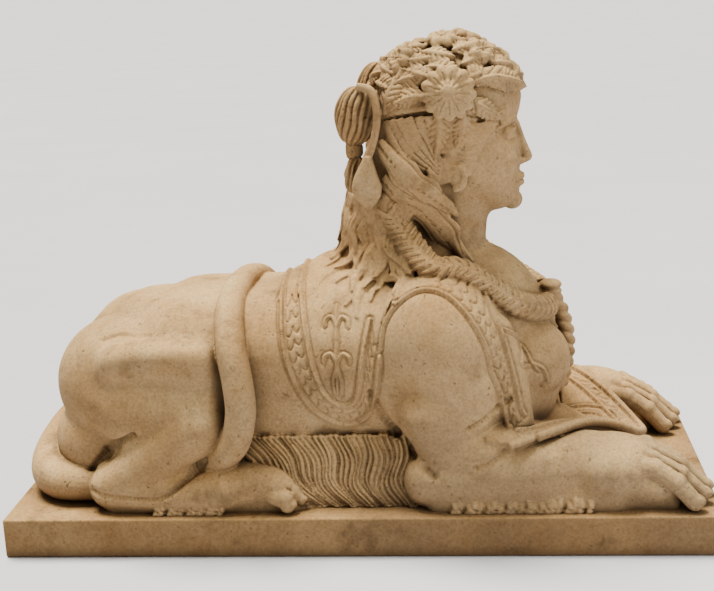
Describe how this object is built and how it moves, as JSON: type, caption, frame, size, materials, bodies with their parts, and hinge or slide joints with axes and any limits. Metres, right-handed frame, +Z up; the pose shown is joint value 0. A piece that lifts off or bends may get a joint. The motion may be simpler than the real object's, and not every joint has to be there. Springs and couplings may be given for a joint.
{
  "type": "sphinx statue",
  "caption": "Recumbent garden sphinx on a plain slab: lion's body, woman's head with wreathed hair, braids, and a bordered saddle-cloth.",
  "frame": {"origin": "centre of the slab's underside", "axes": "+X the way the sphinx faces, +Y its left side, +Z up"},
  "size_m": [1.2, 0.5, 0.8289],
  "materials": {
    "stone": "weathered buff sandstone, matt"
  },
  "bodies": {
    "root": {"sphinx": "stone"}
  },
  "joints": []
}
